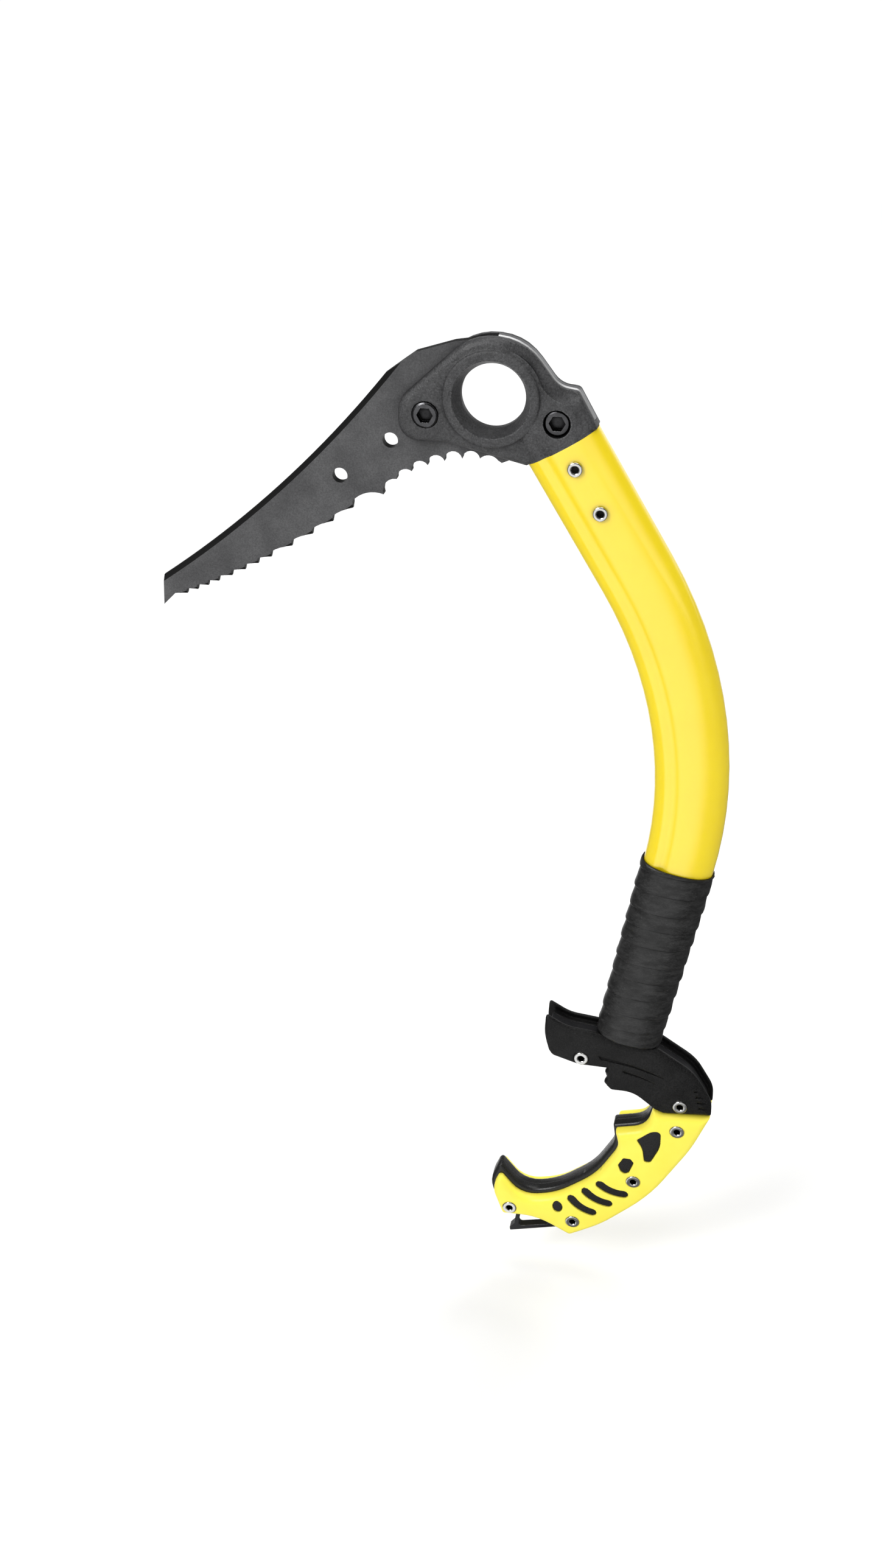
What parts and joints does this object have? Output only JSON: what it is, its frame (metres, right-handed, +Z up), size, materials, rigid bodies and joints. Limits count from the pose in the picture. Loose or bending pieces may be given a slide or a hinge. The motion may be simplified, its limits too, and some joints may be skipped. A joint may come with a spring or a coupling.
{
  "type": "ice climbing tool",
  "caption": "Ice climbing tool with a ringed head, bolted saw-edged pick, bent oval shaft, taped upper grip, trigger rest and riveted lower grip with a spike.",
  "frame": {"origin": "centre of the hole in the head, on the tool's middle plane", "axes": "-X towards the pick's tip, +Y across the tool's thickness, +Z up from the spike to the head"},
  "size_m": [0.264, 0.0216, 0.4773],
  "materials": {
    "head_steel": "dark grey grainy coating on forged alloy",
    "pick_steel": "satin dark grey coating on hardened steel",
    "spacer_alloy": "bead-blasted grey",
    "bolt_steel": "dark oxidised",
    "shaft_enamel": "glossy bright yellow enamel",
    "rivet_nickel": "bright nickel plate",
    "tape_rubber": "black wrapped grip tape",
    "plate_alloy": "dark anodised",
    "plug_plastic": "black moulded",
    "pin_steel": "plain ground",
    "trigger_plastic": "black moulded, finely grained",
    "core_plastic": "black moulded, soft satin",
    "scale_plastic": "bright yellow moulded"
  },
  "bodies": {
    "tool": {"head": "head_steel", "pick": "pick_steel", "rear_spacer": "spacer_alloy", "shaft_tube": "shaft_enamel", "shaft_rivet_upper": "rivet_nickel", "shaft_rivet_lower": "rivet_nickel", "grip_tape": "tape_rubber", "tang_plate": "plate_alloy", "end_plug_near": "plug_plastic", "end_plug_far": "plug_plastic", "tang_pin_upper": "pin_steel", "tang_pin_lower": "pin_steel", "trigger_cover_near": "trigger_plastic", "trigger_cover_far": "trigger_plastic", "trigger_rivet_front": "rivet_nickel", "trigger_rivet_rear": "rivet_nickel", "grip_core_near": "core_plastic", "grip_core_far": "core_plastic", "grip_scale_near": "scale_plastic", "grip_scale_far": "scale_plastic", "grip_rivet_top": "rivet_nickel", "grip_rivet_middle": "rivet_nickel", "grip_rivet_bottom": "rivet_nickel", "grip_rivet_pommel": "rivet_nickel"},
    "front_bolt": {"front_bolt": "bolt_steel"},
    "rear_bolt": {"rear_bolt": "bolt_steel"}
  },
  "joints": [
    {"name": "front_bolt_turn", "type": "hinge", "parent": "tool", "child": "front_bolt", "pos_m": [-0.0275, 0, -0.0082], "axis": [0, 1, 0], "continuous": true},
    {"name": "rear_bolt_turn", "type": "hinge", "parent": "tool", "child": "rear_bolt", "pos_m": [0.0275, 0, -0.0082], "axis": [0, 1, 0], "continuous": true}
  ]
}
